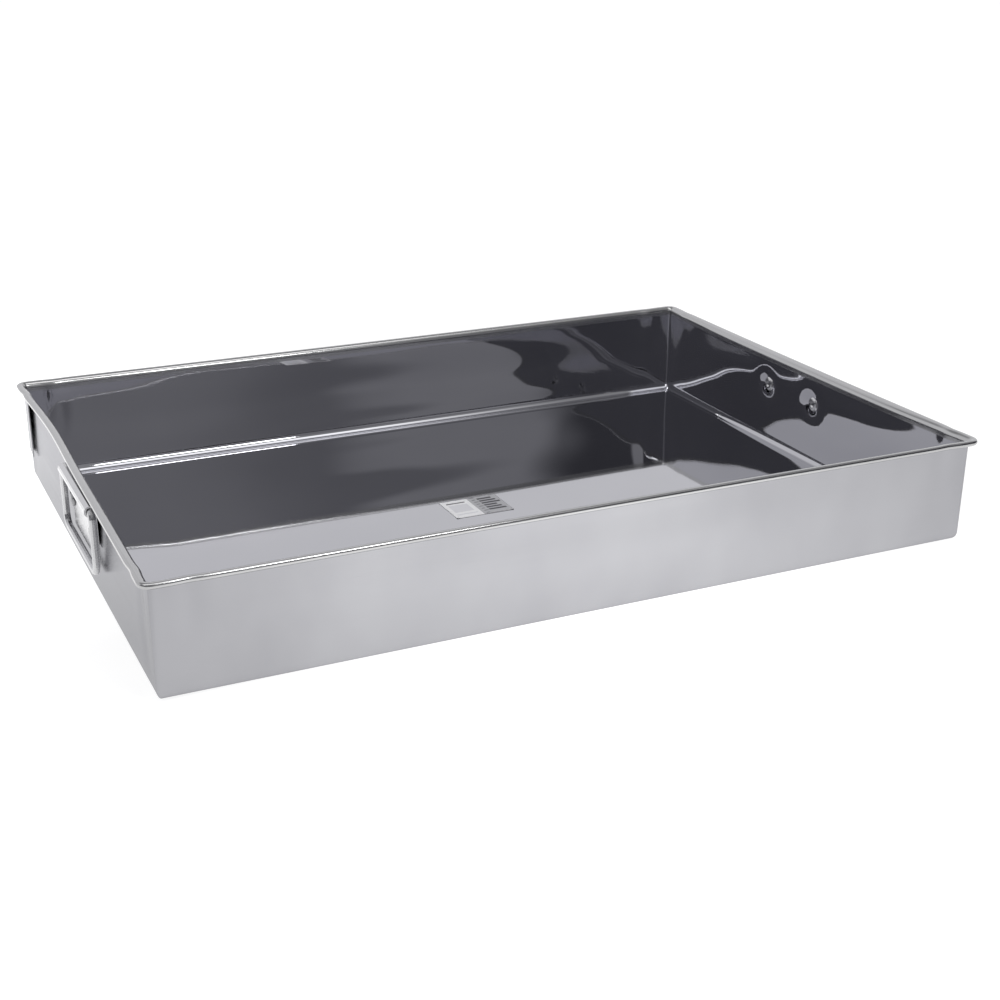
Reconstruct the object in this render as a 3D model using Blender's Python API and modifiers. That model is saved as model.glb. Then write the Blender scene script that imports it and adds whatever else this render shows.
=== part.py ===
"""Rectangular stainless steel tray with a wired rim and a hinged drop handle on each end.

Metres, +Z up. The origin is at the middle of the underside, +X runs along the length, and the
two handles are on the -X and +X end walls. The tray's blank is one folded sheet: base, four walls
and a rim that flares outwards and curls round a stiffening wire.
"""

from math import copysign, cos, radians, sin

import bmesh
import bpy

MM = 0.001

# Tray: the driving dimensions
LENGTH = 600 * MM
WIDTH = 420 * MM
HEIGHT = 80 * MM
SHEET = 0.8 * MM
WALL_LEAN = 0.5 * MM
BASE_BEND_RADIUS = 6 * MM
CLEARANCE = 0.3 * MM

# Rim: a quarter turn outwards, then a curl round the wire
FLARE_RADIUS = 4.5 * MM
BEAD_RADIUS = 2 * MM
BEAD_OFFSET = 4.2 * MM
CURL_END_ANGLE = -160
BEND_STEPS = 5
CURL_STEPS = 11
WIRE_RADIUS = BEAD_RADIUS - SHEET - CLEARANCE
WIRE_SIDES = 10

# Edges folded more sharply than this, in degrees, stay crisp when shaded
SHARP_ANGLE = 35

# Handle plates, measured out from the end wall's outer face
PLATE_SHEET = 1.2 * MM
PLATE_WIDTH = 92 * MM
PLATE_BOTTOM = 33 * MM
PLATE_CORNER_RADIUS = 12 * MM
PLATE_CORNER_STEPS = 6
ROD_RADIUS = 2.5 * MM
HINGE_HEIGHT = 71 * MM
BARREL_INNER_RADIUS = ROD_RADIUS + CLEARANCE
BARREL_RADIUS = BARREL_INNER_RADIUS + PLATE_SHEET
BARREL_END_ANGLE = -105
BARREL_STEPS = 12
HINGE_STANDOFF = CLEARANCE + BARREL_RADIUS

# Bail handles: a closed rod loop whose top bar turns in the plate's barrel
BAIL_HALF_WIDTH = 51 * MM
BAIL_DROP = 43 * MM
BAIL_TOP_RADIUS = 5 * MM
BAIL_BOTTOM_RADIUS = 9 * MM
BAIL_CORNER_STEPS = 6
ROD_RESOLUTION = 3

# Rivets through each plate and end wall
RIVET_SPACING = 64 * MM
RIVET_HEIGHT = 52 * MM
RIVET_SHANK_RADIUS = 2.5 * MM
INNER_HEAD_RADIUS = 6.5 * MM
INNER_HEAD_DEPTH = 2.4 * MM
OUTER_HEAD_RADIUS = 4.8 * MM
OUTER_HEAD_DEPTH = 2.2 * MM
DIMPLE_RADIUS = 2.6 * MM
DIMPLE_DEPTH = 0.7 * MM
HEAD_STEPS = 5
TURNED_STEPS = 20
HOLE_CUTTER_LENGTH = 12 * MM

# Handle centres along Y: the left one was riveted on a little forward of the middle
HANDLE_CENTRES = {"left": -22 * MM, "right": 7 * MM}
SIDES = {"left": -1, "right": 1}

# Sticker on the floor of the tray
LABEL_SIZE = (48 * MM, 36 * MM)
LABEL_CENTRE = (0 * MM, -4 * MM)
LABEL_THICKNESS = 0.15 * MM

OUTER_WALL = LENGTH / 2 + WALL_LEAN
FLOOR_TOP = SHEET


def clear_scene():
    for item in list(bpy.data.objects):
        bpy.data.objects.remove(item, do_unlink=True)


def make_collection(name):
    collection = bpy.data.collections.new(name)
    bpy.context.scene.collection.children.link(collection)
    return collection


def make_material(name, colour, roughness, metallic):
    material = bpy.data.materials.new(name)
    material.use_nodes = True
    shader = material.node_tree.nodes["Principled BSDF"]
    shader.inputs["Base Color"].default_value = (*colour, 1.0)
    shader.inputs["Roughness"].default_value = roughness
    shader.inputs["Metallic"].default_value = metallic
    return material


def add_object(name, data, collection, material=None):
    item = bpy.data.objects.new(name, data)
    collection.objects.link(item)
    if material is not None:
        data.materials.append(material)
    return item


def finish_mesh(mesh, name):
    """Turn a bmesh into mesh data, shaded smooth with its sharp edges kept."""
    data = bpy.data.meshes.new(name)
    mesh.to_mesh(data)
    mesh.free()
    data.shade_smooth()
    data.set_sharp_from_angle(angle=radians(SHARP_ANGLE))
    return data


def add_solidify(item, thickness):
    solidify = item.modifiers.new("sheet", "SOLIDIFY")
    solidify.thickness = thickness
    solidify.offset = -1
    solidify.use_even_offset = True


def arc(centre, radius, start, end, steps):
    """Points on an arc of a profile, from the start angle to the end angle in degrees."""
    points = []
    for step in range(steps + 1):
        angle = radians(start + (end - start) * step / steps)
        points.append((centre[0] + radius * cos(angle), centre[1] + radius * sin(angle)))
    return points


def extrude_ring(mesh, ring, half_length, half_width, height):
    """Extrude a rectangular edge ring and set the new one to its half sizes and height."""
    step = bmesh.ops.extrude_edge_only(mesh, edges=ring)
    new_edges = [part for part in step["geom"] if isinstance(part, bmesh.types.BMEdge)]
    for corner in [part for part in step["geom"] if isinstance(part, bmesh.types.BMVert)]:
        corner.co.x = copysign(half_length, corner.co.x)
        corner.co.y = copysign(half_width, corner.co.y)
        corner.co.z = height
    return new_edges


def wall_profile():
    """The tray's inner face, as points of (distance out from the inner wall, height)."""
    flare_centre = (WALL_LEAN + FLARE_RADIUS, HEIGHT - FLARE_RADIUS)
    bead_centre = (WALL_LEAN + SHEET + BEAD_OFFSET, HEIGHT - BEAD_RADIUS)
    bend_centre = (-BASE_BEND_RADIUS, FLOOR_TOP + BASE_BEND_RADIUS)
    bend = arc(bend_centre, BASE_BEND_RADIUS, -90, 0, BEND_STEPS)
    flare = arc(flare_centre, FLARE_RADIUS, 180, 90, BEND_STEPS)
    curl = arc(bead_centre, BEAD_RADIUS, 90, CURL_END_ANGLE, CURL_STEPS)
    return bend + flare + curl


def rivet_centres(side):
    """Where the rivets pass through one end wall, along Y."""
    middle = HANDLE_CENTRES[side]
    return {"front": middle - RIVET_SPACING / 2, "back": middle + RIVET_SPACING / 2}


def make_rivet_hole_cutters(side, cutters):
    """Round cutters that drill the end wall and the handle plate for the rivets."""
    holes = []
    for end, along in rivet_centres(side).items():
        mesh = bmesh.new()
        radius = RIVET_SHANK_RADIUS + CLEARANCE
        bmesh.ops.create_cone(
            mesh, cap_ends=True, segments=TURNED_STEPS, radius1=radius, radius2=radius, depth=HOLE_CUTTER_LENGTH
        )
        name = f"{side}_{end}_rivet_hole"
        hole = add_object(name, finish_mesh(mesh, name), cutters)
        hole.location = (SIDES[side] * OUTER_WALL, along, RIVET_HEIGHT)
        hole.rotation_euler = (0, radians(90), 0)
        hole.hide_render = True
        hole.display_type = "WIRE"
        holes.append(hole)
    return holes


def drill(item, holes):
    for hole in holes:
        cut = item.modifiers.new(hole.name, "BOOLEAN")
        cut.operation = "DIFFERENCE"
        cut.solver = "EXACT"
        cut.object = hole


def make_tray_shell(parts, material, holes):
    """One folded sheet, extruded ring by ring from the flat of the base to the curl's end."""
    inner_length = LENGTH / 2 - SHEET
    inner_width = WIDTH / 2 - SHEET
    profile = wall_profile()
    mesh = bmesh.new()
    bmesh.ops.create_grid(mesh, x_segments=1, y_segments=1, size=1)
    for corner in mesh.verts:
        corner.co.x *= inner_length + profile[0][0]
        corner.co.y *= inner_width + profile[0][0]
        corner.co.z = FLOOR_TOP
    ring = list(mesh.edges)
    for out, height in profile[1:]:
        ring = extrude_ring(mesh, ring, inner_length + out, inner_width + out, height)
    base = max(mesh.faces, key=lambda face: face.calc_area())
    bmesh.ops.recalc_face_normals(mesh, faces=mesh.faces)
    if base.normal.z < 0:
        bmesh.ops.reverse_faces(mesh, faces=mesh.faces)
    shell = add_object("tray_shell", finish_mesh(mesh, "tray_shell"), parts, material)
    add_solidify(shell, SHEET)
    drill(shell, holes)


def make_rim_wire(parts, material):
    """A closed wire loop with mitred corners, inside the curl."""
    half_length = LENGTH / 2 + WALL_LEAN + BEAD_OFFSET
    half_width = WIDTH / 2 + WALL_LEAN + BEAD_OFFSET
    centre_height = HEIGHT - BEAD_RADIUS
    turn = 360 / WIRE_SIDES
    circle = arc((0, centre_height), WIRE_RADIUS, 0, 360 - turn, WIRE_SIDES - 1)
    mesh = bmesh.new()
    bmesh.ops.create_grid(mesh, x_segments=1, y_segments=1, size=1)
    for corner in mesh.verts:
        corner.co.x *= half_length + circle[0][0]
        corner.co.y *= half_width + circle[0][0]
        corner.co.z = circle[0][1]
    bmesh.ops.delete(mesh, geom=list(mesh.faces), context="FACES_ONLY")
    first_ring = list(mesh.edges)
    ring = first_ring
    for out, height in circle[1:]:
        ring = extrude_ring(mesh, ring, half_length + out, half_width + out, height)
    bmesh.ops.bridge_loops(mesh, edges=first_ring + ring)
    bmesh.ops.recalc_face_normals(mesh, faces=mesh.faces)
    add_object("rim_wire", finish_mesh(mesh, "rim_wire"), parts, material)


def plate_profile():
    """A handle plate's back face, as points of (distance out from the wall, height)."""
    barrel_centre = (HINGE_STANDOFF, HINGE_HEIGHT)
    barrel = arc(barrel_centre, BARREL_RADIUS, 180, BARREL_END_ANGLE, BARREL_STEPS)
    return [(CLEARANCE, PLATE_BOTTOM)] + barrel


def make_handle_plate(side, parts, material, holes):
    """A riveted strap whose top edge is rolled into the hinge's barrel."""
    mesh = bmesh.new()
    profile = [mesh.verts.new((out, -PLATE_WIDTH / 2, height)) for out, height in plate_profile()]
    edges = [mesh.edges.new(pair) for pair in zip(profile, profile[1:])]
    step = bmesh.ops.extrude_edge_only(mesh, edges=edges)
    for corner in [part for part in step["geom"] if isinstance(part, bmesh.types.BMVert)]:
        corner.co.y = PLATE_WIDTH / 2
    bottom = [corner for corner in mesh.verts if corner.co.z < PLATE_BOTTOM + CLEARANCE]
    bmesh.ops.bevel(mesh, geom=bottom, offset=PLATE_CORNER_RADIUS, segments=PLATE_CORNER_STEPS, affect="VERTICES")
    bmesh.ops.recalc_face_normals(mesh, faces=mesh.faces)
    back = max(mesh.faces, key=lambda face: face.calc_area())
    if back.normal.x > 0:
        bmesh.ops.reverse_faces(mesh, faces=mesh.faces)
    name = f"{side}_handle_plate"
    plate = add_object(name, finish_mesh(mesh, name), parts, material)
    plate.location = (SIDES[side] * OUTER_WALL, HANDLE_CENTRES[side], 0)
    if SIDES[side] < 0:
        plate.rotation_euler = (0, 0, radians(180))
    add_solidify(plate, PLATE_SHEET)
    drill(plate, holes)


def bail_outline():
    """The rod's centre line round the loop, as points of (along Y, height from the hinge)."""
    top = BAIL_TOP_RADIUS
    bottom = BAIL_BOTTOM_RADIUS
    right = BAIL_HALF_WIDTH
    points = arc((right - top, -top), top, 90, 0, BAIL_CORNER_STEPS)
    points += arc((right - bottom, bottom - BAIL_DROP), bottom, 0, -90, BAIL_CORNER_STEPS)
    points += arc((bottom - right, bottom - BAIL_DROP), bottom, -90, -180, BAIL_CORNER_STEPS)
    points += arc((top - right, -top), top, 180, 90, BAIL_CORNER_STEPS)
    return points


def make_bail_handle(side, parts, material):
    """A closed rod loop, hanging; its origin is on the hinge axis."""
    name = f"{side}_bail_handle"
    curve = bpy.data.curves.new(name, "CURVE")
    curve.dimensions = "3D"
    curve.bevel_depth = ROD_RADIUS
    curve.bevel_resolution = ROD_RESOLUTION
    spline = curve.splines.new("POLY")
    points = bail_outline()
    spline.points.add(len(points) - 1)
    for target, (along, height) in zip(spline.points, points):
        target.co = (0, along, height, 1)
    spline.use_cyclic_u = True
    bail = add_object(name, curve, parts, material)
    bail.location = (SIDES[side] * (OUTER_WALL + HINGE_STANDOFF), HANDLE_CENTRES[side], HINGE_HEIGHT)


def dome(flat_radius, edge_radius, base, depth, start, end):
    """A rivet head's quarter ellipse, as points of (radius, distance out), between two angles."""
    points = []
    for step in range(HEAD_STEPS + 1):
        angle = radians(start + (end - start) * step / HEAD_STEPS)
        points.append((flat_radius + (edge_radius - flat_radius) * cos(angle), base + depth * sin(angle)))
    return points


def rivet_profile():
    """Half section of a rivet, as points of (radius, distance out from the wall's outer face)."""
    inner_face = -SHEET - CLEARANCE
    outer_face = PLATE_SHEET + 2 * CLEARANCE
    dimple_floor = inner_face - INNER_HEAD_DEPTH + DIMPLE_DEPTH
    points = dome(0, OUTER_HEAD_RADIUS, outer_face, OUTER_HEAD_DEPTH, 90, 0)
    points += [(RIVET_SHANK_RADIUS, outer_face), (RIVET_SHANK_RADIUS, inner_face)]
    points += dome(DIMPLE_RADIUS, INNER_HEAD_RADIUS, inner_face, -INNER_HEAD_DEPTH, 0, 90)
    points += [(DIMPLE_RADIUS / 2, dimple_floor), (0, dimple_floor)]
    return points


def make_rivet(side, end, along, parts, material):
    """A turned rivet: half section on the XZ plane, with a Screw modifier round Z."""
    name = f"{side}_{end}_rivet"
    mesh = bmesh.new()
    section = [mesh.verts.new((radius, 0, out)) for radius, out in rivet_profile()]
    for pair in zip(section, section[1:]):
        mesh.edges.new(pair)
    rivet = add_object(name, finish_mesh(mesh, name), parts, material)
    screw = rivet.modifiers.new("turn", "SCREW")
    screw.axis = "Z"
    screw.steps = TURNED_STEPS
    screw.render_steps = TURNED_STEPS
    screw.use_merge_vertices = True
    screw.merge_threshold = 0.00001
    screw.use_smooth_shade = True
    rivet.location = (SIDES[side] * OUTER_WALL, along, RIVET_HEIGHT)
    rivet.rotation_euler = (0, radians(90) * SIDES[side], 0)


def make_label(parts, material):
    """A thin paper sticker on the floor of the tray."""
    mesh = bmesh.new()
    bmesh.ops.create_cube(mesh, size=1)
    for corner in mesh.verts:
        corner.co.x *= LABEL_SIZE[0]
        corner.co.y *= LABEL_SIZE[1]
        corner.co.z *= LABEL_THICKNESS
    label = add_object("label_sticker", finish_mesh(mesh, "label_sticker"), parts, material)
    label.location = (*LABEL_CENTRE, FLOOR_TOP + CLEARANCE + LABEL_THICKNESS / 2)


def main():
    clear_scene()
    parts = make_collection("handled_steel_tray")
    cutters = make_collection("cutters")
    tray_steel = make_material("tray_steel", (0.62, 0.62, 0.64), 0.22, 1.0)
    wire_steel = make_material("wire_steel", (0.55, 0.55, 0.56), 0.35, 1.0)
    plate_steel = make_material("plate_steel", (0.72, 0.72, 0.74), 0.18, 1.0)
    rod_steel = make_material("rod_steel", (0.66, 0.66, 0.68), 0.25, 1.0)
    rivet_steel = make_material("rivet_steel", (0.70, 0.70, 0.72), 0.2, 1.0)
    label_paper = make_material("label_paper", (0.85, 0.85, 0.86), 0.55, 0.0)
    holes = {side: make_rivet_hole_cutters(side, cutters) for side in SIDES}
    make_tray_shell(parts, tray_steel, holes["left"] + holes["right"])
    make_rim_wire(parts, wire_steel)
    make_label(parts, label_paper)
    for side in SIDES:
        make_handle_plate(side, parts, plate_steel, holes[side])
        make_bail_handle(side, parts, rod_steel)
        for end, along in rivet_centres(side).items():
            make_rivet(side, end, along, parts, rivet_steel)


main()
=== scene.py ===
"""Looks for the stainless steel tray with drop handles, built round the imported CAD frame.

Everything is in metres in the CAD's frame. The sheet metal is remade as one fine closed mesh with the
soft buckles, bowed rim, inward belly and pinched rim corners of folded thin sheet. The rim wire is
remade to follow the rim, and the sticker to follow the floor.
"""

import math

import bmesh
import bpy
from mathutils import Matrix, Vector, noise


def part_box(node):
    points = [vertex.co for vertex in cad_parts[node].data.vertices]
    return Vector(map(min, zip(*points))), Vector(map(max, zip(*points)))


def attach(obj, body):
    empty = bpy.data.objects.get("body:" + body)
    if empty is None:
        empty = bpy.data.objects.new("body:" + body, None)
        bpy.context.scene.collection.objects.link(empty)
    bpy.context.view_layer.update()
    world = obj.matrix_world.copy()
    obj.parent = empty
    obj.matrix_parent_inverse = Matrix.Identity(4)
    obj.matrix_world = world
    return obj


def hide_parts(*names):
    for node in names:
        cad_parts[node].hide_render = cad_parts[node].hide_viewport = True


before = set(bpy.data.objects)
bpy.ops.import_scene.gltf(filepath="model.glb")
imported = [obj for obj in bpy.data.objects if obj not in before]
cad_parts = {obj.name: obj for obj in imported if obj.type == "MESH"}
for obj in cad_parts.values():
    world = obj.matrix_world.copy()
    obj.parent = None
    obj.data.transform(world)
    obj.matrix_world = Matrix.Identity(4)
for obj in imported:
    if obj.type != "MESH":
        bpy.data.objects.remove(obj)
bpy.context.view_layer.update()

MM = 0.001

# Places and sizes read from the frame
SHELL_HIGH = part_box("tray_shell")[1]
LABEL_LOW, LABEL_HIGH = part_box("label_sticker")
HEIGHT = SHELL_HIGH.z
WIRE_LOW, WIRE_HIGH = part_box("rim_wire")
WIRE_RADIUS = (WIRE_HIGH.z - WIRE_LOW.z) / 2
WIRE_HEIGHT = (WIRE_HIGH.z + WIRE_LOW.z) / 2
RIVETS = {
    -1: [sum(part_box(f"left_{end}_rivet"), Vector()) / 2 for end in ("front", "back")],
    1: [sum(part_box(f"right_{end}_rivet"), Vector()) / 2 for end in ("front", "back")],
}

# Sheet metal sizes that the frame was made with
SHEET = 0.8 * MM
WALL_LEAN = 0.5 * MM
BEND_RADIUS = 6 * MM
FLARE_RADIUS = 4.5 * MM
BEAD_RADIUS = 2 * MM
BEAD_OFFSET = 4.2 * MM
CURL_END_ANGLE = -160
CORNER_RADIUS = 1.2 * MM
HALF_LENGTH = SHELL_HIGH.x - WALL_LEAN - BEAD_OFFSET - BEAD_RADIUS - SHEET
HALF_WIDTH = SHELL_HIGH.y - WALL_LEAN - BEAD_OFFSET - BEAD_RADIUS - SHEET

# How finely the section and the plan of the sheet are cut up
BEND_STEPS = 24
WALL_STEPS = 26
FLARE_STEPS = 14
CURL_STEPS = 24
LONG_STEPS = 160
SHORT_STEPS = 110
CORNER_STEPS = 6
WIRE_SIDES = 12
WELD_DISTANCE = 0.02 * MM

# How the stations along a wall are spread: a share crowded towards its ends and an even share
CROWDED_SHARE = 0.55
EVEN_SHARE = 0.45

# The sheet's material slots
INSIDE, OUTSIDE, LONG_RIM, SHORT_RIM = 0, 1, 2, 3

# The rim's line: bowed inwards along every wall, with a dent at the left and a pinch by each corner.
# The foot is the share of the height where the wall begins to follow it.
RIM_FOOT = 0.45
RIM_BOW = 1.6 * MM
RIM_BOW_POWER = 1.2
LEFT_DENT_CENTRE = 90 * MM
LEFT_DENT_WIDTH = 75 * MM
LEFT_DENT_DEPTH = 2.6 * MM
LEFT_DENT_FADE = 60 * MM
PINCH_DISTANCE = 21 * MM
PINCH_WIDTH = 7 * MM
PINCH_DEPTH = 0.7 * MM

# The right end wall's inward belly, and how far round itself a rivet holds an end wall flat
BELLY_DEPTH = 3.4 * MM
BELLY_REACH = 105 * MM
BELLY_FOOT = 4 * MM
BELLY_CREST = 54 * MM
BELLY_POWER = 1.2
BELLY_RETURN = 0.25
RIVET_DIMPLE_WIDTH = 9.5 * MM

# Buckles of the walls: noise cells per metre, depths, and where they fade out
BUCKLE_CELLS = Vector((7, 7, 12))
BUCKLE_DEPTH = 0.45 * MM
FINE_BUCKLE_RATIO = 2.3
FINE_BUCKLE_SHIFT = Vector((3, 1, 7))
FINE_BUCKLE_DEPTH = 0.12 * MM
BUCKLE_CORNER = 30 * MM
BUCKLE_FOOT = (8 * MM, 22 * MM)
BUCKLE_TOP = (HEIGHT - 14 * MM, HEIGHT - 4 * MM)
BUCKLE_TOP_LOSS = 0.7
END_WALL_BUCKLE = 0.35

# The leaf-shaped hollows beside the corners, nearer the corner at their foot than at their top
LEAF_DISTANCE = 20 * MM
LEAF_WIDTH = 10 * MM
LEAF_DEPTH = 0.6 * MM
LEAF_POWER = 1.5
LEAF_FOOT_SHARE = 0.6
LEAF_SPREAD = 0.8

# The folded ear at the back left corner
EAR_LENGTH = 24 * MM
EAR_ROOT = 1.5 * MM
EAR_STAND = 2.7 * MM
EAR_FOOT = 26 * MM
EAR_TOP = 72 * MM

# The base: one long crown and a soft ripple, faded out towards the walls
FLOOR_CROWN_PLACE = -60 * MM
FLOOR_CROWN_WIDTH = 100 * MM
FLOOR_CROWN_HEIGHT = 1.4 * MM
FLOOR_RISE = 0.15 * MM
FLOOR_RIPPLE = 0.12 * MM
FLOOR_RIPPLE_CELLS = 5
FLOOR_RIPPLE_SLICE = 2.0
FLOOR_FADE = 60 * MM

# The sticker: cells, curled corners, slots and tones
STICKER_COLUMNS = 52
STICKER_ROWS = 38
STICKER_DROP = 0.2 * MM
STICKER_CURL = 0.3 * MM
STICKER_CURL_CELLS = 6
WHITE, INK, PALE, FILM = 0, 1, 2, 3
STICKER_TONES = (
    ("sticker_white", (0.93, 0.93, 0.94)),
    ("sticker_ink", (0.07, 0.07, 0.08)),
    ("sticker_pale", (0.76, 0.76, 0.79)),
    ("sticker_grey", (0.48, 0.48, 0.50)),
)

# The sticker's plain print, as (first column, end column, first row, end row) in cells
PAPER_END = 25
HEADING = (4, 21, 31, 33)
BLOCK = (4, 21, 12, 28)
FOOTING = (3, 22, 6, 8)
BAR_PITCH = 5
BAR_START = 33
BAR_END = 44
BAR_ROWS = (5, 35)
BAR_GAP = 2
BAR_STAGGER = 5
BAR_RAGGEDNESS = 7
MARK_START = 28
MARK_END = 31
MARK_LINE = 2

# How the sheet's grain is stretched along X, Y and Z
MIRROR_STREAKS = (3, 420, 420)
SATIN_GRAIN = (6, 6, 900)
SATIN_CLOUDS = (1, 1, 0.6)
LONG_RIM_LINES = (6, 700, 700)
SHORT_RIM_LINES = (700, 6, 700)

# Depths of the finest surface grain
STEEL_GRAIN_DEPTH = 0.2 * MM
PAPER_GRAIN_DEPTH = 0.1 * MM

# Finishes of the sheet and the sticker, each from its lowest to its highest value
MIRROR_TONES = ((0.50, 0.50, 0.525), (0.53, 0.53, 0.555))
MIRROR_ROLLING_ROUGHNESS = (0.015, 0.045)
MIRROR_WIPING_ROUGHNESS = (0.015, 0.05)
SATIN_TONES = ((0.36, 0.36, 0.378), (0.41, 0.41, 0.428))
SATIN_BRUSHING_ROUGHNESS = (0.19, 0.27)
SATIN_HANDLING_ROUGHNESS = (0.18, 0.30)
SATIN_HANDLING_SHARE = 0.4
SATIN_TINT = (0.7, 0.7, 0.71, 1)
RIM_LINE_GREYS = (0.42, 0.56)
RIM_PATCH_GREYS = (0.47, 0.53)
RIM_ROUGHNESS = (0.12, 0.26)
PAPER_ROUGHNESS = (0.45, 0.65)

# Duller patches: how dark against the tone, and how many there are for each scuff
WORN_SHADE = 0.9
WORN_PATCHES = 0.12
PAPER_SHADE = 0.93

# Finishes of the small steel pieces: tone, lowest and highest roughness, scuffs per metre
PLATE_FINISH = ((0.66, 0.66, 0.67), 0.12, 0.28, 240.0)
ROD_FINISH = ((0.60, 0.60, 0.61), 0.2, 0.36, 320.0)
# The left rivets' dark tone is painted shade: it stands for the shade in and round their heads
LEFT_RIVET_PAINTED_SHADE_FINISH = ((0.30, 0.30, 0.31), 0.2, 0.4, 420.0)
RIGHT_RIVET_FINISH = ((0.64, 0.64, 0.65), 0.12, 0.26, 420.0)
WIRE_FINISH = ((0.5, 0.5, 0.51), 0.3, 0.45, 420.0)

# The studio's floor, which lights itself, with two painted pools of light where it glows brighter
FLOOR_CARD = 60
FLOOR_GAP = 0.4 * MM
FLOOR_TONE = (0.35, 0.35, 0.35, 1)
FLOOR_ROUGHNESS = 0.9
FLOOR_GLOW = (0.63, 1.0)
FLOOR_GLOW_FULL = 0.85
FLOOR_GLOW_STRENGTH = 1.3
# Painted pools of light: the floor glows brighter here, in front of the tray and beside its back left
# corner, and the walls reflect them
FRONT_POOL_CENTRE = (0.03, -0.33)
FRONT_POOL_REACH = (0.38, 0.30)
LEFT_POOL_CENTRE = (-0.36, 0.38)
LEFT_POOL_REACH = (0.4, 0.5)

# The small lamp over the floor in front of the tray
LAMP_PLACE = (0.15, -0.75, 1.0)
LAMP_TARGET = (0.12, -0.40, 0)
LAMP_SIZE = (0.35, 0.2)
LAMP_ENERGY = 3.0

# The room round the tray: how bright it is in each direction
ROOM_BEYOND = (0.83, 0.83, 0.855)
ROOM_FRONT = (0.225, 0.225, 0.24)
ROOM_SIDE = (0.33, 0.33, 0.345)
ROOM_LEFT = (0.17, 0.17, 0.185)
ROOM_RIGHT = (0.075, 0.075, 0.085)
ROOM_CEILING = (0.34, 0.34, 0.35)
ROOM_PANEL = (0.37, 0.37, 0.385)
ROOM_SOFTBOX = (1.9, 1.9, 1.92)
ROOM_BACKDROP = (1.0, 1.0, 1.0)
PANEL_DIRECTION = Vector((0.40, -0.855, 0.33)).normalized()

# Where one part of the room gives way to the next, as a range of a direction's x, y or z. The panel's is
# a range of how nearly a direction points at the panel.
FRONT_EDGE = (0.2, 0.3)
LEFT_EDGE = (-0.25, 0.15)
PANEL_EDGE = (0.9935, 0.998)
RIGHT_EDGE = (0.42, 0.46)
BEYOND_EDGE = (0.0, 0.3)
CEILING_EDGE = (0.62, 0.74)
SOFTBOX_NEAR_EDGE = (-0.36, -0.28)
SOFTBOX_FAR_EDGE = (0.06, 0.14)
SOFTBOX_RIGHT_EDGE = (0.30, 0.46)

# Camera
CAMERA_AZIMUTH = -25.29
CAMERA_ELEVATION = 21.36
CAMERA_DISTANCE = 1.2296
CAMERA_ROLL = 0.3
CAMERA_TARGET = (0.0248, 0.0054, 0.0)
CAMERA_FOCAL_PIXELS = 1553.8
CAMERA_CLIP = 0.01
SENSOR_MM = 36.0
FRAME_PIXELS = 1000.0


# ---------------------------------------------------------------- small helpers

def arc(centre, radius, start, end, steps):
    """Points on an arc of a profile, from the start angle to the end angle in degrees."""
    points = []
    for step in range(steps + 1):
        angle = math.radians(start + (end - start) * step / steps)
        points.append((centre[0] + radius * math.cos(angle), centre[1] + radius * math.sin(angle)))
    return points


def bell(value, centre, width):
    """1 at the centre, falling smoothly to nearly 0 at twice the width."""
    return math.exp(-(((value - centre) / width) ** 2))


def smooth_step(value, low, high):
    """0 up to low and 1 from high on, with a smooth rise between."""
    t = min(max((value - low) / (high - low), 0.0), 1.0)
    return t * t * (3 - 2 * t)


def link(name, data):
    item = bpy.data.objects.new(name, data)
    bpy.context.scene.collection.objects.link(item)
    return item


def finished(name, mesh, materials):
    """Turns a built mesh into an object with its materials."""
    data = bpy.data.meshes.new(name)
    mesh.to_mesh(data)
    mesh.free()
    for material in materials:
        data.materials.append(material)
    return link(name, data)


def ring_faces(mesh, lower, upper):
    """Smooth quads between two closed rings of corners, in the rings' order."""
    faces = []
    for place, corner in enumerate(lower):
        after = (place + 1) % len(lower)
        face = mesh.faces.new((corner, lower[after], upper[after], upper[place]))
        face.smooth = True
        faces.append(face)
    return faces


def grid_faces(mesh, grid, slot_of):
    """Smooth quads over a grid of corners; slot_of gives a cell's material slot from its column and row."""
    for row, (near, far) in enumerate(zip(grid, grid[1:])):
        for column in range(len(near) - 1):
            face = mesh.faces.new((near[column], near[column + 1], far[column + 1], far[column]))
            face.material_index = slot_of(column, row)
            face.smooth = True


# ---------------------------------------------------------------- materials

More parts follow.
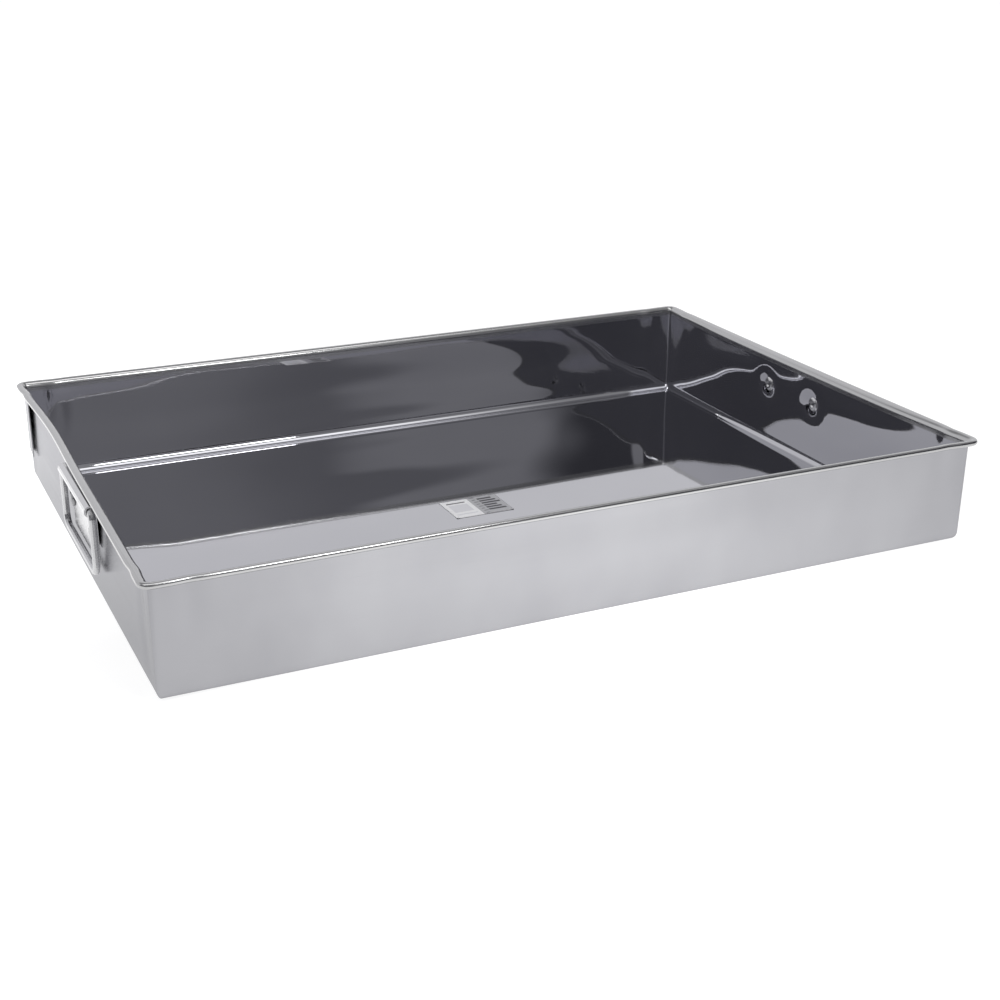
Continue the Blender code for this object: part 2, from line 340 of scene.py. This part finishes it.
class Nodes:
    """A short way to build one Principled material."""

    def __init__(self, name):
        self.material = bpy.data.materials.new(name)
        self.material.use_nodes = True
        self.tree = self.material.node_tree
        self.shader = self.tree.nodes["Principled BSDF"]
        self.place = self.add("ShaderNodeTexCoord").outputs["Object"]

    def add(self, kind, **settings):
        node = self.tree.nodes.new(kind)
        for key, value in settings.items():
            setattr(node, key, value)
        return node

    def join(self, source, target):
        self.tree.links.new(source, target)

    def stretched(self, scale):
        mapping = self.add("ShaderNodeMapping")
        mapping.inputs["Scale"].default_value = scale
        self.join(self.place, mapping.inputs["Vector"])
        return mapping.outputs["Vector"]

    def noise(self, vector, scale=1.0, detail=3.0, roughness=0.55):
        texture = self.add("ShaderNodeTexNoise")
        texture.inputs["Scale"].default_value = scale
        texture.inputs["Detail"].default_value = detail
        texture.inputs["Roughness"].default_value = roughness
        self.join(vector, texture.inputs["Vector"])
        return texture.outputs["Fac"]

    def ramp(self, factor, low, high, start=0.3, end=0.7):
        """One colour up to start and another from end on."""
        ramp = self.add("ShaderNodeValToRGB")
        for element, position, colour in zip(ramp.color_ramp.elements, (start, end), (low, high)):
            element.position = position
            element.color = (*colour, 1.0)
        self.join(factor, ramp.inputs["Fac"])
        return ramp.outputs["Color"]

    def grey_ramp(self, factor, low, high, start=0.3, end=0.7):
        return self.ramp(factor, (low,) * 3, (high,) * 3, start, end)

    def mix(self, share, first, second):
        mixer = self.add("ShaderNodeMix", data_type="RGBA")
        mixer.inputs["Factor"].default_value = share
        self.join(first, mixer.inputs["A"])
        self.join(second, mixer.inputs["B"])
        return mixer.outputs["Result"]

    def bump(self, height, strength, distance):
        bump = self.add("ShaderNodeBump")
        bump.inputs["Strength"].default_value = strength
        bump.inputs["Distance"].default_value = distance
        self.join(height, bump.inputs["Height"])
        self.join(bump.outputs["Normal"], self.shader.inputs["Normal"])

    def colour(self, source):
        self.join(source, self.shader.inputs["Base Color"])

    def roughness(self, source):
        self.join(source, self.shader.inputs["Roughness"])


def shaded(tone, share):
    return tuple(channel * share for channel in tone)


def steel(name):
    """A metal to build on."""
    nodes = Nodes(name)
    nodes.shader.inputs["Metallic"].default_value = 1.0
    return nodes


def mirror_steel():
    """The polished inside of the sheet: a mirror with faint rolling lines and wipe marks."""
    nodes = steel("mirror_steel")
    streaks = nodes.noise(nodes.stretched(MIRROR_STREAKS))
    patches = nodes.noise(nodes.place, scale=7.0, detail=2.0)
    nodes.colour(nodes.ramp(patches, *MIRROR_TONES))
    rolling = nodes.grey_ramp(streaks, *MIRROR_ROLLING_ROUGHNESS)
    wiping = nodes.grey_ramp(patches, *MIRROR_WIPING_ROUGHNESS)
    nodes.roughness(nodes.mix(0.5, rolling, wiping))
    return nodes.material


def satin_steel():
    """The dull outside of the sheet: brushed along each wall, with cloudy handling marks."""
    nodes = steel("satin_steel")
    grain = nodes.noise(nodes.stretched(SATIN_GRAIN), detail=5.0, roughness=0.65)
    clouds = nodes.noise(nodes.stretched(SATIN_CLOUDS), scale=14.0, roughness=0.5)
    nodes.colour(nodes.ramp(clouds, *SATIN_TONES, start=0.32, end=0.68))
    brushing = nodes.grey_ramp(grain, *SATIN_BRUSHING_ROUGHNESS)
    handling = nodes.grey_ramp(clouds, *SATIN_HANDLING_ROUGHNESS)
    nodes.roughness(nodes.mix(SATIN_HANDLING_SHARE, brushing, handling))
    nodes.bump(grain, 0.05, STEEL_GRAIN_DEPTH)
    nodes.shader.inputs["Specular Tint"].default_value = SATIN_TINT
    return nodes.material


def edge_steel(name, lines_across):
    """The rolled rim: bright, with fine rolling lines along it."""
    nodes = steel(name)
    lines = nodes.noise(nodes.stretched(lines_across), roughness=0.6)
    patches = nodes.noise(nodes.place, scale=18.0, detail=2.0)
    line_tone = nodes.grey_ramp(lines, *RIM_LINE_GREYS)
    patch_tone = nodes.grey_ramp(patches, *RIM_PATCH_GREYS)
    nodes.colour(nodes.mix(0.5, line_tone, patch_tone))
    nodes.roughness(nodes.grey_ramp(lines, *RIM_ROUGHNESS))
    nodes.bump(lines, 0.05, STEEL_GRAIN_DEPTH)
    return nodes.material


def worn_steel(name, tone, low_roughness, high_roughness, scale):
    """Bright steel of the plates, rods and rivets, with fine scuffs and duller patches."""
    nodes = steel(name)
    scuffs = nodes.noise(nodes.place, scale=scale, detail=5.0, roughness=0.7)
    patches = nodes.noise(nodes.place, scale=scale * WORN_PATCHES, detail=2.0)
    nodes.colour(nodes.ramp(patches, shaded(tone, WORN_SHADE), tone))
    nodes.roughness(nodes.grey_ramp(scuffs, low_roughness, high_roughness))
    nodes.bump(scuffs, 0.03, STEEL_GRAIN_DEPTH)
    return nodes.material


def paper(name, tone):
    """Matt paper or film with fine fibres."""
    nodes = Nodes(name)
    fibres = nodes.noise(nodes.place, scale=1400.0, detail=4.0, roughness=0.7)
    nodes.colour(nodes.ramp(fibres, shaded(tone, PAPER_SHADE), tone))
    nodes.roughness(nodes.grey_ramp(fibres, *PAPER_ROUGHNESS))
    nodes.bump(fibres, 0.15, PAPER_GRAIN_DEPTH)
    return nodes.material


# ---------------------------------------------------------------- the folded sheet

def inner_profile():
    """The sheet's inner face and then its rim, as (distance out from the inner wall, height)."""
    bend = arc((-BEND_RADIUS, SHEET + BEND_RADIUS), BEND_RADIUS, -90, 0, BEND_STEPS)
    flare_centre = (WALL_LEAN + FLARE_RADIUS, HEIGHT - FLARE_RADIUS)
    flare = arc(flare_centre, FLARE_RADIUS, 180, 90, FLARE_STEPS)
    curl_centre = (WALL_LEAN + SHEET + BEAD_OFFSET, HEIGHT - BEAD_RADIUS)
    curl = arc(curl_centre, BEAD_RADIUS, 90, CURL_END_ANGLE, CURL_STEPS)[1:]
    foot = Vector(bend[-1])
    top = Vector(flare[0])
    wall = [tuple(foot.lerp(top, step / WALL_STEPS)) for step in range(1, WALL_STEPS)]
    return bend + wall, flare + curl


def offset_profile(points, distance):
    """The same profile moved to the right of its direction by a distance."""
    moved = []
    for index, (out, height) in enumerate(points):
        before = points[max(index - 1, 0)]
        after = points[min(index + 1, len(points) - 1)]
        along = Vector((after[0] - before[0], after[1] - before[1])).normalized()
        moved.append((out + along.y * distance, height - along.x * distance))
    return moved


def side_stations(steps):
    """Positions from -1 to 1 along a wall, closer together near its ends."""
    stations = []
    for step in range(steps + 1):
        t = step / steps
        stations.append(-math.cos(math.pi * t) * CROWDED_SHARE + (2 * t - 1) * EVEN_SHARE)
    return [station / -stations[0] for station in stations]


def plan_points():
    """The loop round the tray, as (wall's normal, station along it, corner angle)."""
    long_stations = side_stations(LONG_STEPS)
    short_stations = side_stations(SHORT_STEPS)
    walls = [
        ((0, -1), long_stations),
        ((1, 0), short_stations),
        ((0, 1), long_stations),
        ((-1, 0), short_stations),
    ]
    loop = []
    for index, (normal, stations) in enumerate(walls):
        for station in stations:
            loop.append((normal, station, None))
        for step in range(1, CORNER_STEPS):
            angle = index * 90 - 90 + 90 * step / CORNER_STEPS
            loop.append((None, 0, angle))
    return loop


def corner_distance(station, half):
    """How far a point along a wall is from the nearer corner, in metres."""
    return (1 - abs(station)) * half


def sheet_point(plan, out, height, rim):
    """Where a point of the profile lies on the tray, for one place round its loop."""
    normal, station, angle = plan
    radius = max(CORNER_RADIUS + out, 0.0)
    half_length = HALF_LENGTH + out
    half_width = HALF_WIDTH + out
    if normal is None:
        direction = Vector((math.cos(math.radians(angle)), math.sin(math.radians(angle))))
        x = math.copysign(half_length - radius, direction.x) + direction.x * radius
        y = math.copysign(half_width - radius, direction.y) + direction.y * radius
        return Vector((x, y, height))
    along = Vector((-normal[1], normal[0]))
    run = half_length - radius if normal[1] else half_width - radius
    half = half_width if normal[1] else half_length
    shift = wall_shift(plan, run, out, height, rim)
    place = Vector((normal[0], normal[1])) * (half + shift) + along * (run * station)
    return Vector((place.x, place.y, height))


def wall_shift(plan, run, out, height, rim):
    """How far out of its flat place a wall stands, in metres; rim is 0 low down and 1 at the rim."""
    normal, station, _ = plan
    distance = corner_distance(station, run)
    across = normal[0] * run * station
    shift = -rim * RIM_BOW * (1 - station * station) ** RIM_BOW_POWER
    shift -= rim * PINCH_DEPTH * bell(distance, PINCH_DISTANCE, PINCH_WIDTH)
    if normal == (-1, 0):
        dent = bell(across, LEFT_DENT_CENTRE, LEFT_DENT_WIDTH)
        shift -= rim * LEFT_DENT_DEPTH * dent * smooth_step(distance, 0, LEFT_DENT_FADE)
    if normal == (1, 0):
        shift -= BELLY_DEPTH * belly_share(out, height) * smooth_step(distance, 0, BELLY_REACH)
    if normal[0]:
        shift *= 1 - rivet_hold(normal[0], across, height)
    return shift


def rivet_hold(side, y, z):
    """How firmly a rivet holds an end wall to its plate at a place: 1 at a rivet, 0 away from it."""
    return max(bell(math.hypot(y - rivet.y, z - rivet.z), 0, RIVET_DIMPLE_WIDTH) for rivet in RIVETS[side])


def belly_share(out, height):
    """How much of the right end wall's inward belly there is: most above mid-height, none at the curl."""
    rise = min(max((height - BELLY_FOOT) / (BELLY_CREST - BELLY_FOOT), 0.0), 1.0)
    share = math.sin(math.pi / 2 * rise ** BELLY_POWER)
    share *= 1 - BELLY_RETURN * smooth_step(height, BELLY_CREST, HEIGHT - FLARE_RADIUS)
    return share * (1 - smooth_step(out, WALL_LEAN + SHEET, WALL_LEAN + FLARE_RADIUS))


def rim_share(height):
    """0 low on the wall, rising to 1 at the rim."""
    return smooth_step(height, HEIGHT * RIM_FOOT, HEIGHT - 2 * FLARE_RADIUS)


def buckle(point):
    """Low, wide buckles of the sheet, in metres."""
    cells = point * BUCKLE_CELLS
    wide = noise.noise(cells) * BUCKLE_DEPTH
    return wide + noise.noise(cells * FINE_BUCKLE_RATIO + FINE_BUCKLE_SHIFT) * FINE_BUCKLE_DEPTH


def wall_buckle(plan, point, height):
    """Moves a wall point along its wall's normal: not at the corners, and less on the end walls."""
    normal, station, _ = plan
    if normal is None:
        return point
    half = HALF_LENGTH if normal[1] else HALF_WIDTH
    distance = corner_distance(station, half)
    fade = smooth_step(distance, 0, BUCKLE_CORNER)
    fade *= smooth_step(height, *BUCKLE_FOOT)
    fade *= 1 - BUCKLE_TOP_LOSS * smooth_step(height, *BUCKLE_TOP)
    if normal[0]:
        fade *= END_WALL_BUCKLE
    amount = fade * buckle(point) + corner_leaf(distance, height)
    return point + Vector((normal[0], normal[1], 0)) * amount


def corner_leaf(distance, height):
    """The leaf-shaped hollow that folding leaves beside each upright corner, in metres."""
    rise = min(max(height / HEIGHT, 0.0), 1.0)
    middle = LEAF_DISTANCE * (LEAF_FOOT_SHARE + LEAF_SPREAD * rise)
    return -LEAF_DEPTH * math.sin(math.pi * rise) ** LEAF_POWER * bell(distance, middle, LEAF_WIDTH)


def sheet_section():
    """The sheet's closed section, and the material slot of the strip that follows each point."""
    face, edge = inner_profile()
    inner = face + edge
    outer = offset_profile(inner, SHEET)
    rim_strips = len(edge) + 1 + CURL_STEPS
    slots = [INSIDE] * (len(face) - 1) + [LONG_RIM] * rim_strips + [OUTSIDE] * (len(face) + FLARE_STEPS)
    return inner + outer[::-1], slots


def tray_sheet(materials):
    """The whole sheet as one closed mesh: inner face, curl, outer face and both sides of the base."""
    section, slots = sheet_section()
    plans = plan_points()
    mesh = bmesh.new()
    rings = []
    for out, height in section:
        share = rim_share(height)
        points = [wall_buckle(plan, sheet_point(plan, out, height, share), height) for plan in plans]
        rings.append([mesh.verts.new(point) for point in points])
    for lower, upper, slot in zip(rings, rings[1:], slots):
        for plan, face in zip(plans, ring_faces(mesh, lower, upper)):
            on_end_wall = plan[0] in ((1, 0), (-1, 0))
            face.material_index = SHORT_RIM if slot == LONG_RIM and on_end_wall else slot
    add_floor(mesh, rings[0], INSIDE)
    add_floor(mesh, rings[-1], OUTSIDE)
    bmesh.ops.remove_doubles(mesh, verts=mesh.verts, dist=WELD_DISTANCE)
    corner_ear(mesh)
    bmesh.ops.recalc_face_normals(mesh, faces=mesh.faces)
    return finished("tray_sheet", mesh, materials)


def add_floor(mesh, ring, slot):
    """A grid across the base, which the weld joins to the ring round it."""
    low_x = min(v.co.x for v in ring)
    high_x = max(v.co.x for v in ring)
    low_y = min(v.co.y for v in ring)
    high_y = max(v.co.y for v in ring)
    height = ring[0].co.z
    grid = []
    for across in side_stations(SHORT_STEPS):
        row = []
        for along in side_stations(LONG_STEPS):
            x = (low_x + high_x) / 2 + along * (high_x - low_x) / 2
            y = (low_y + high_y) / 2 + across * (high_y - low_y) / 2
            edge = min(x - low_x, high_x - x, y - low_y, high_y - y)
            lift = floor_lift(x, y) * smooth_step(edge, 0, FLOOR_FADE)
            row.append(mesh.verts.new((x, y, height + lift)))
        grid.append(row)
    grid_faces(mesh, grid, lambda column, row: slot)


def floor_lift(x, y):
    """The base's slight oil-canning, only upwards so that it still stands flat."""
    crown = FLOOR_CROWN_HEIGHT * bell(y, FLOOR_CROWN_PLACE, FLOOR_CROWN_WIDTH)
    cells = Vector((x * FLOOR_RIPPLE_CELLS, y * FLOOR_RIPPLE_CELLS, FLOOR_RIPPLE_SLICE))
    return FLOOR_RISE + FLOOR_RIPPLE * noise.noise(cells) + crown


def corner_ear(mesh):
    """The folded ear outside the back left corner, with its free edge standing off the end wall."""
    root = Vector((-HALF_LENGTH - EAR_ROOT, HALF_WIDTH - CORNER_RADIUS, 0))
    free = Vector((-HALF_LENGTH - EAR_STAND, HALF_WIDTH - EAR_LENGTH, 0))
    outline = [root, free, free - Vector((SHEET, 0, 0)), root - Vector((SHEET, 0, 0))]
    low = [mesh.verts.new(point + Vector((0, 0, EAR_FOOT))) for point in outline]
    high = [mesh.verts.new(point + Vector((0, 0, EAR_TOP))) for point in outline]
    faces = [low, high]
    for place in range(len(outline)):
        after = (place + 1) % len(outline)
        faces.append([low[place], low[after], high[after], high[place]])
    for corners in faces:
        mesh.faces.new(corners).material_index = OUTSIDE


def bent_wire(material):
    """The wire in the curl, bowed with the rim."""
    middle = WALL_LEAN + SHEET + BEAD_OFFSET
    plans = plan_points()
    mesh = bmesh.new()
    rings = []
    for side in range(WIRE_SIDES):
        turn = math.tau * side / WIRE_SIDES
        out = middle + WIRE_RADIUS * math.cos(turn)
        height = WIRE_HEIGHT + WIRE_RADIUS * math.sin(turn)
        rings.append([mesh.verts.new(sheet_point(plan, out, height, 1.0)) for plan in plans])
    for index, ring in enumerate(rings):
        ring_faces(mesh, ring, rings[(index + 1) % WIRE_SIDES])
    bmesh.ops.recalc_face_normals(mesh, faces=mesh.faces)
    return finished("bent_wire", mesh, [material])


# ---------------------------------------------------------------- sticker

def sticker():
    """A label with curled corners: a white half with plain blocks, and a grey half of plain bars."""
    mesh = bmesh.new()
    grid = []
    for row in range(STICKER_ROWS + 1):
        line = []
        for column in range(STICKER_COLUMNS + 1):
            u = column / STICKER_COLUMNS
            v = row / STICKER_ROWS
            x = LABEL_LOW.x + (LABEL_HIGH.x - LABEL_LOW.x) * u
            y = LABEL_LOW.y + (LABEL_HIGH.y - LABEL_LOW.y) * v
            from_corner = min(u, 1 - u) * STICKER_COLUMNS + min(v, 1 - v) * STICKER_ROWS
            curl = STICKER_CURL * max(0.0, 1 - from_corner / STICKER_CURL_CELLS) ** 2
            line.append(mesh.verts.new((x, y, LABEL_HIGH.z - STICKER_DROP + floor_lift(x, y) + curl)))
        grid.append(line)
    grid_faces(mesh, grid, sticker_tone)
    label = finished("floor_sticker", mesh, [paper(name, tone) for name, tone in STICKER_TONES])
    solidify = label.modifiers.new("paper", "SOLIDIFY")
    solidify.thickness = LABEL_HIGH.z - LABEL_LOW.z
    solidify.offset = -1
    return label


def in_cells(column, row, cells):
    first_column, end_column, first_row, end_row = cells
    return first_column <= column < end_column and first_row <= row < end_row


def sticker_tone(column, row):
    """Which of the sticker's four slots a cell has."""
    if column < PAPER_END:
        if in_cells(column, row, HEADING):
            return INK
        if in_cells(column, row, BLOCK) or in_cells(column, row, FOOTING):
            return PALE
        return WHITE
    bar, line = divmod(row, BAR_PITCH)
    bar_end = BAR_END + (bar * BAR_STAGGER) % BAR_RAGGEDNESS
    if line >= BAR_GAP and in_cells(column, row, (BAR_START, bar_end, *BAR_ROWS)):
        return INK
    if line == MARK_LINE and MARK_START <= column < MARK_END + bar % 2:
        return INK
    return FILM


# ---------------------------------------------------------------- stage, light and camera

def painted_light_pool(nodes, centre, reach):
    """A painted pool of light on the floor: 1 at its centre, 0 past its reach along x and y."""
    mapping = nodes.add("ShaderNodeMapping", vector_type="TEXTURE")
    mapping.inputs["Location"].default_value = (*centre, 0)
    mapping.inputs["Scale"].default_value = (*reach, 1)
    nodes.join(nodes.add("ShaderNodeNewGeometry").outputs["Position"], mapping.inputs["Vector"])
    gradient = nodes.add("ShaderNodeTexGradient", gradient_type="SPHERICAL")
    nodes.join(mapping.outputs["Vector"], gradient.inputs["Vector"])
    return gradient.outputs["Fac"]


def floor_material():
    """A self-lit pale floor with two painted pools of light: it glows brighter in front of the tray and
    beside its back left corner.
    """
    nodes = Nodes("floor_pale")
    shader = nodes.shader
    shader.inputs["Base Color"].default_value = FLOOR_TONE
    shader.inputs["Roughness"].default_value = FLOOR_ROUGHNESS
    shader.inputs["Specular IOR Level"].default_value = 0.0
    # The brighter of the two painted pools of light sets how strongly the floor glows
    brighter = nodes.add("ShaderNodeMath", operation="MAXIMUM")
    nodes.join(painted_light_pool(nodes, FRONT_POOL_CENTRE, FRONT_POOL_REACH), brighter.inputs[0])
    nodes.join(painted_light_pool(nodes, LEFT_POOL_CENTRE, LEFT_POOL_REACH), brighter.inputs[1])
    glow = nodes.grey_ramp(brighter.outputs[0], *FLOOR_GLOW, start=0.0, end=FLOOR_GLOW_FULL)
    nodes.join(glow, shader.inputs["Emission Color"])
    shader.inputs["Emission Strength"].default_value = FLOOR_GLOW_STRENGTH
    return nodes.material


def studio_floor():
    """The wide card under the tray."""
    bpy.ops.mesh.primitive_plane_add(size=1, location=(0, 0, -FLOOR_GAP))
    card = bpy.context.object
    card.name = "studio_floor"
    card.scale = (FLOOR_CARD, FLOOR_CARD, 1)
    card.data.materials.append(floor_material())


def front_lamp():
    """A small lamp that brightens the floor in front of the tray."""
    data = bpy.data.lights.new("front_pool", "AREA")
    data.shape = "RECTANGLE"
    data.size, data.size_y = LAMP_SIZE
    data.energy = LAMP_ENERGY
    lamp = link("front_pool", data)
    lamp.location = LAMP_PLACE
    lamp.rotation_euler = (Vector(LAMP_TARGET) - Vector(LAMP_PLACE)).to_track_quat("-Z", "Y").to_euler()


class RoomNodes:
    """A short way to build the world's brightness from directions."""

    def __init__(self, world):
        self.tree = world.node_tree
        self.place = self.tree.nodes.new("ShaderNodeTexCoord").outputs["Generated"]
        split = self.tree.nodes.new("ShaderNodeSeparateXYZ")
        self.tree.links.new(self.place, split.inputs[0])
        self.x, self.y, self.z = split.outputs

    def step(self, source, edge):
        """0 below the edge's range and 1 above it."""
        ramp = self.tree.nodes.new("ShaderNodeMapRange")
        ramp.interpolation_type = "SMOOTHSTEP"
        ramp.inputs["From Min"].default_value = edge[0]
        ramp.inputs["From Max"].default_value = edge[1]
        self.tree.links.new(source, ramp.inputs["Value"])
        return ramp.outputs["Result"]

    def towards(self, direction):
        """1 in a direction, less away from it."""
        product = self.tree.nodes.new("ShaderNodeVectorMath")
        product.operation = "DOT_PRODUCT"
        product.inputs[1].default_value = direction
        self.tree.links.new(self.place, product.inputs[0])
        return product.outputs["Value"]

    def blend(self, factor, first, second):
        """The first value where the factor is 0, the second where it is 1."""
        mixer = self.tree.nodes.new("ShaderNodeMix")
        mixer.data_type = "RGBA"
        self.tree.links.new(factor, mixer.inputs["Factor"])
        for name, value in (("A", first), ("B", second)):
            if isinstance(value, tuple):
                mixer.inputs[name].default_value = (*value, 1)
            else:
                self.tree.links.new(value, mixer.inputs[name])
        return mixer.outputs["Result"]


def studio_room():
    """A soft studio: pale beyond the tray, dim in front, with a softbox overhead and a dim panel."""
    world = bpy.data.worlds.new("studio_room")
    world.use_nodes = True
    room = RoomNodes(world)
    colour = room.blend(room.step(room.x, FRONT_EDGE), ROOM_SIDE, ROOM_FRONT)
    colour = room.blend(room.step(room.x, LEFT_EDGE), ROOM_LEFT, colour)
    colour = room.blend(room.step(room.towards(PANEL_DIRECTION), PANEL_EDGE), colour, ROOM_PANEL)
    colour = room.blend(room.step(room.x, RIGHT_EDGE), colour, ROOM_RIGHT)
    colour = room.blend(room.step(room.y, BEYOND_EDGE), colour, ROOM_BEYOND)
    ceiling = room.blend(room.step(room.y, SOFTBOX_NEAR_EDGE), ROOM_CEILING, ROOM_SOFTBOX)
    ceiling = room.blend(room.step(room.y, SOFTBOX_FAR_EDGE), ceiling, ROOM_CEILING)
    ceiling = room.blend(room.step(room.x, SOFTBOX_RIGHT_EDGE), ceiling, ROOM_CEILING)
    colour = room.blend(room.step(room.z, CEILING_EDGE), colour, ceiling)
    seen = room.tree.nodes.new("ShaderNodeLightPath").outputs["Is Camera Ray"]
    colour = room.blend(seen, colour, ROOM_BACKDROP)
    room.tree.links.new(colour, room.tree.nodes["Background"].inputs["Color"])
    bpy.context.scene.world = world


def camera():
    """The camera, placed round its target by angles, distance and roll."""
    azimuth = math.radians(CAMERA_AZIMUTH)
    elevation = math.radians(CAMERA_ELEVATION)
    back = Vector((math.sin(azimuth) * math.cos(elevation),
                   -math.cos(azimuth) * math.cos(elevation), math.sin(elevation)))
    right = Vector((0, 0, 1)).cross(back).normalized()
    up = back.cross(right)
    roll = math.radians(CAMERA_ROLL)
    rolled_right = right * math.cos(roll) + up * math.sin(roll)
    rolled_up = up * math.cos(roll) - right * math.sin(roll)
    data = bpy.data.cameras.new("camera")
    data.sensor_width = SENSOR_MM
    data.lens = CAMERA_FOCAL_PIXELS * SENSOR_MM / FRAME_PIXELS
    data.clip_start = CAMERA_CLIP
    eye = link("camera", data)
    turn = Matrix((rolled_right, rolled_up, back)).transposed().to_4x4()
    eye.matrix_world = Matrix.Translation(Vector(CAMERA_TARGET) + back * CAMERA_DISTANCE) @ turn
    bpy.context.scene.camera = eye


def assign(node, material):
    """Gives a CAD node a better material."""
    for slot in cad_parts[node].material_slots:
        slot.material = material


def hardware():
    """The looks of the plates, handles and rivets; the left end's rivets are painted dark as painted shade
    for the shade in and round their heads.
    """
    plate = worn_steel("plate_steel", *PLATE_FINISH)
    rod = worn_steel("rod_steel", *ROD_FINISH)
    rivets = {
        # The left rivets' dark tone is painted shade
        "left": worn_steel("painted_shade_rivet_steel", *LEFT_RIVET_PAINTED_SHADE_FINISH),
        "right": worn_steel("rivet_steel", *RIGHT_RIVET_FINISH),
    }
    for side, rivet in rivets.items():
        assign(f"{side}_handle_plate", plate)
        assign(f"{side}_bail_handle", rod)
        assign(f"{side}_front_rivet", rivet)
        assign(f"{side}_back_rivet", rivet)


def main():
    bpy.context.scene.view_settings.view_transform = "Standard"
    camera()
    studio_floor()
    front_lamp()
    studio_room()
    long_rim = edge_steel("long_rim_steel", LONG_RIM_LINES)
    short_rim = edge_steel("short_rim_steel", SHORT_RIM_LINES)
    sheet = tray_sheet((mirror_steel(), satin_steel(), long_rim, short_rim))
    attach(sheet, "tray")
    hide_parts("tray_shell")
    label = sticker()
    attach(label, "tray")
    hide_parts("label_sticker")
    rim_wire = bent_wire(worn_steel("wire_steel", *WIRE_FINISH))
    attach(rim_wire, "tray")
    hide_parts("rim_wire")
    hardware()


main()
